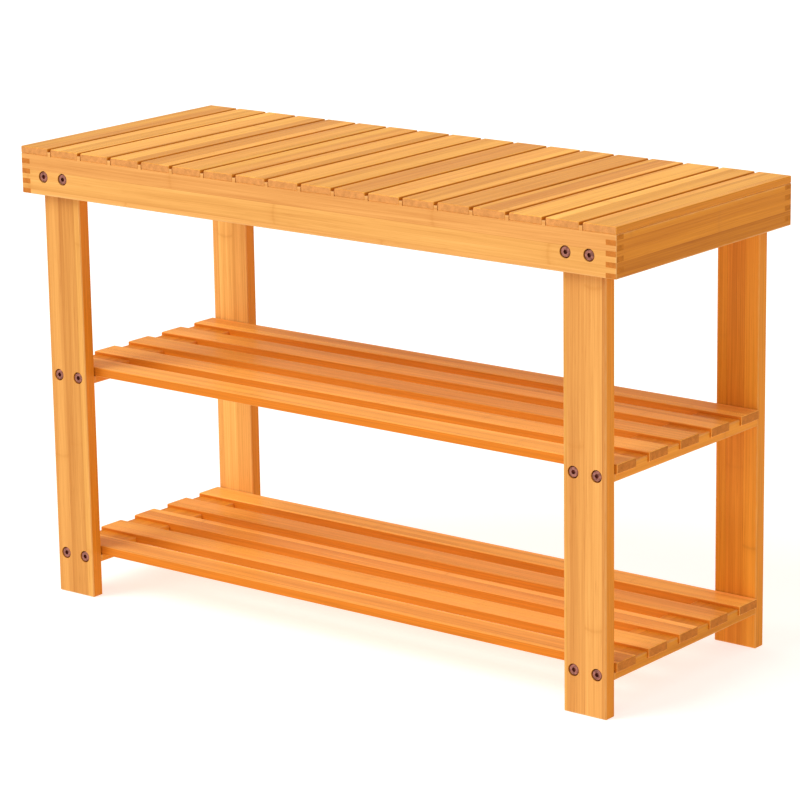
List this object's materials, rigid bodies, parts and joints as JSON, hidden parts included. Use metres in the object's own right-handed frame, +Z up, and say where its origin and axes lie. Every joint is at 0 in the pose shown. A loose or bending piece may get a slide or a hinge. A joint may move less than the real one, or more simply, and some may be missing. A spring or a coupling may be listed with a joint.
{
  "type": "entryway bench",
  "caption": "Slatted bamboo entryway bench: finger-jointed seat box on flat bolted legs, with two open shoe shelves of long slats below.",
  "frame": {"origin": "on the floor, under the centre of the seat", "axes": "+X along the bench towards its right end as a person faces its front, -Y towards the front, +Z up"},
  "size_m": [0.7, 0.28, 0.45],
  "materials": {
    "apron_bamboo": "clear-lacquered edge-glued bamboo, satin",
    "end_board_bamboo": "clear-lacquered edge-glued bamboo, satin",
    "bearer_bamboo": "clear-lacquered bamboo, satin",
    "seat_slat_bamboo": "clear-lacquered bamboo, satin",
    "leg_bamboo": "clear-lacquered laminated bamboo, satin",
    "cross_board_bamboo": "clear-lacquered bamboo, satin",
    "shelf_slat_bamboo": "clear-lacquered bamboo, satin",
    "bolt_steel": "dark bronzed steel",
    "insert_brass": "plain",
    "screw_zinc": "zinc plated"
  },
  "bodies": {
    "root": {"front_apron": "apron_bamboo", "back_apron": "apron_bamboo", "left_end_board": "end_board_bamboo", "right_end_board": "end_board_bamboo", "seat_bearer": "bearer_bamboo", "seat_slat_01": "seat_slat_bamboo", "seat_slat_02": "seat_slat_bamboo", "seat_slat_03": "seat_slat_bamboo", "seat_slat_04": "seat_slat_bamboo", "seat_slat_05": "seat_slat_bamboo", "seat_slat_06": "seat_slat_bamboo", "seat_slat_07": "seat_slat_bamboo", "seat_slat_08": "seat_slat_bamboo", "seat_slat_09": "seat_slat_bamboo", "seat_slat_10": "seat_slat_bamboo", "seat_slat_11": "seat_slat_bamboo", "seat_slat_12": "seat_slat_bamboo", "seat_slat_13": "seat_slat_bamboo", "seat_slat_14": "seat_slat_bamboo", "seat_slat_15": "seat_slat_bamboo", "seat_slat_16": "seat_slat_bamboo", "seat_slat_17": "seat_slat_bamboo", "seat_slat_18": "seat_slat_bamboo", "front_left_leg": "leg_bamboo", "front_right_leg": "leg_bamboo", "back_left_leg": "leg_bamboo", "back_right_leg": "leg_bamboo", "middle_shelf_left_cross_board": "cross_board_bamboo", "middle_shelf_right_cross_board": "cross_board_bamboo", "bottom_shelf_left_cross_board": "cross_board_bamboo", "bottom_shelf_right_cross_board": "cross_board_bamboo", "middle_shelf_slat_1": "shelf_slat_bamboo", "middle_shelf_slat_2": "shelf_slat_bamboo", "middle_shelf_slat_3": "shelf_slat_bamboo", "middle_shelf_slat_4": "shelf_slat_bamboo", "middle_shelf_slat_5": "shelf_slat_bamboo", "bottom_shelf_slat_1": "shelf_slat_bamboo", "bottom_shelf_slat_2": "shelf_slat_bamboo", "bottom_shelf_slat_3": "shelf_slat_bamboo", "bottom_shelf_slat_4": "shelf_slat_bamboo", "bottom_shelf_slat_5": "shelf_slat_bamboo", "apron_bolts": "bolt_steel", "middle_shelf_bolts": "bolt_steel", "bottom_shelf_bolts": "bolt_steel", "leg_inserts": "insert_brass", "middle_shelf_inserts": "insert_brass", "bottom_shelf_inserts": "insert_brass", "seat_slat_screws": "screw_zinc", "middle_shelf_screws": "screw_zinc", "bottom_shelf_screws": "screw_zinc"}
  },
  "joints": []
}
